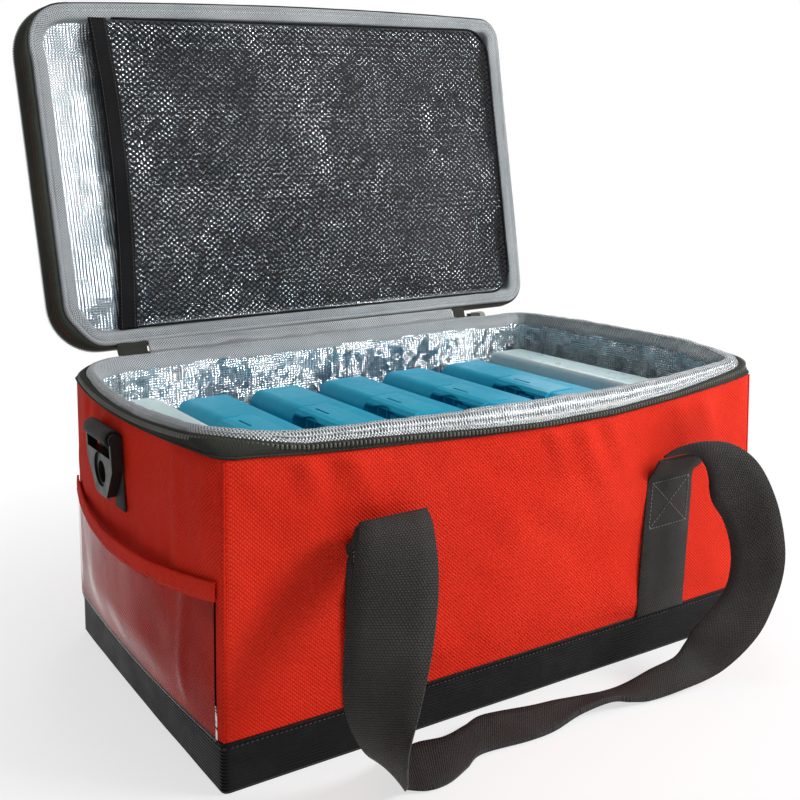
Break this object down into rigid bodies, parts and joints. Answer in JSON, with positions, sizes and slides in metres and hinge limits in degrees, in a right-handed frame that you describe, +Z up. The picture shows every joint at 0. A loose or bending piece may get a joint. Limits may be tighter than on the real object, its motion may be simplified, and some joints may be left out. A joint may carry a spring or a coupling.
{
  "type": "insulated specimen transport bag",
  "caption": "Insulated soft transport bag with zip lid, net pocket, carry handles and strap rings, holding upright specimen cases between cold plates.",
  "frame": {"origin": "centre of the base's underside", "axes": "+X along the front to the viewer's right, +Y from the front to the hinge at the back, +Z up"},
  "size_m": [0.5124, 0.4705, 0.524],
  "materials": {
    "red_fabric": "woven synthetic cloth, slight sheen",
    "foam": "closed-cell insulation foam",
    "base_vinyl": "ribbed vinyl",
    "board": "smooth board",
    "foil": "metallised film, creased",
    "zip_tape": "woven tape",
    "zip_chain": "moulded coil",
    "silver_fabric": "coated silver cloth",
    "webbing": "ribbed webbing",
    "clear_film": "clear flexible film",
    "net": "knotted net",
    "binding": "woven binding",
    "slider": "black coated",
    "pull": "moulded pull",
    "ring": "moulded, satin",
    "case_blue": "moulded, satin",
    "plate": "translucent moulded shell"
  },
  "bodies": {
    "bag": {"panel_front": "red_fabric", "panel_right": "red_fabric", "panel_back": "red_fabric", "panel_left": "red_fabric", "foam_front": "foam", "foam_right": "foam", "foam_back": "foam", "foam_left": "foam", "base_band": "base_vinyl", "base_sole": "base_vinyl", "base_board": "board", "foam_bottom": "foam", "foil_liner": "foil", "rim_tape": "zip_tape", "rim_chain": "zip_chain", "rim_roll": "silver_fabric", "strap_front_left": "webbing", "strap_front_right": "webbing", "strap_back_left": "webbing", "strap_back_right": "webbing", "pocket_film": "clear_film", "pocket_binding": "red_fabric", "ring_tab_left": "webbing", "ring_tab_right": "webbing", "gusset_lower": "silver_fabric", "zip_ends_lower": "zip_tape"},
    "lid": {"lid_cover": "red_fabric", "lid_foam": "foam", "lid_foil": "foil", "lid_border": "silver_fabric", "lid_tape": "zip_tape", "lid_chain": "zip_chain", "lid_net": "net", "net_binding": "binding", "gusset_upper": "silver_fabric", "zip_ends_upper": "zip_tape"},
    "slider": {"zip_slider": "slider"},
    "pull": {"zip_pull": "pull"},
    "front_handle": {"handle_front": "webbing"},
    "back_handle": {"handle_back": "webbing"},
    "left_ring": {"ring_left": "ring"},
    "right_ring": {"ring_right": "ring"},
    "specimen_case_1": {"case_1": "case_blue", "case_1_latch": "case_blue"},
    "specimen_case_2": {"case_2": "case_blue", "case_2_latch": "case_blue"},
    "specimen_case_3": {"case_3": "case_blue", "case_3_latch": "case_blue"},
    "specimen_case_4": {"case_4": "case_blue", "case_4_latch": "case_blue"},
    "specimen_case_5": {"case_5": "case_blue", "case_5_latch": "case_blue"},
    "left_cold_plate": {"cold_plate_left": "plate"},
    "right_cold_plate": {"cold_plate_right": "plate"}
  },
  "joints": [
    {"name": "lid_hinge", "type": "hinge", "parent": "bag", "child": "lid", "pos_m": [0, 0.153, 0.232], "axis": [-1, 0, 0], "range_deg": [-100, 92]},
    {"name": "zip_slide", "type": "slide", "parent": "bag", "child": "slider", "axis": [1, 0, 0], "range_m": [0, 0.012]},
    {"name": "pull_swing", "type": "hinge", "parent": "slider", "child": "pull", "pos_m": [0.1655, 0.15355, 0.2282], "axis": [0, 0, -1], "range_deg": [-120, 0]},
    {"name": "front_handle_swing", "type": "hinge", "parent": "bag", "child": "front_handle", "pos_m": [0, -0.172, 0.17], "axis": [-1, 0, 0], "range_deg": [0, 115]},
    {"name": "back_handle_swing", "type": "hinge", "parent": "bag", "child": "back_handle", "pos_m": [0, 0.161, 0.167], "axis": [-1, 0, 0], "range_deg": [-110, 0]},
    {"name": "left_ring_swing", "type": "hinge", "parent": "bag", "child": "left_ring", "pos_m": [-0.24975, 0.012, 0.203], "axis": [0, 1, 0], "range_deg": [0, 140]},
    {"name": "right_ring_swing", "type": "hinge", "parent": "bag", "child": "right_ring", "pos_m": [0.24975, 0.012, 0.203], "axis": [0, -1, 0], "range_deg": [0, 140]},
    {"name": "specimen_case_1_lift", "type": "slide", "parent": "bag", "child": "specimen_case_1", "axis": [0, 0, 1], "range_m": [0, 0.24]},
    {"name": "specimen_case_2_lift", "type": "slide", "parent": "bag", "child": "specimen_case_2", "axis": [0, 0, 1], "range_m": [0, 0.24]},
    {"name": "specimen_case_3_lift", "type": "slide", "parent": "bag", "child": "specimen_case_3", "axis": [0, 0, 1], "range_m": [0, 0.24]},
    {"name": "specimen_case_4_lift", "type": "slide", "parent": "bag", "child": "specimen_case_4", "axis": [0, 0, 1], "range_m": [0, 0.24]},
    {"name": "specimen_case_5_lift", "type": "slide", "parent": "bag", "child": "specimen_case_5", "axis": [0, 0, 1], "range_m": [0, 0.24]},
    {"name": "left_cold_plate_lift", "type": "slide", "parent": "bag", "child": "left_cold_plate", "axis": [0, 0, 1], "range_m": [0, 0.24]},
    {"name": "right_cold_plate_lift", "type": "slide", "parent": "bag", "child": "right_cold_plate", "axis": [0, 0, 1], "range_m": [0, 0.24]}
  ]
}
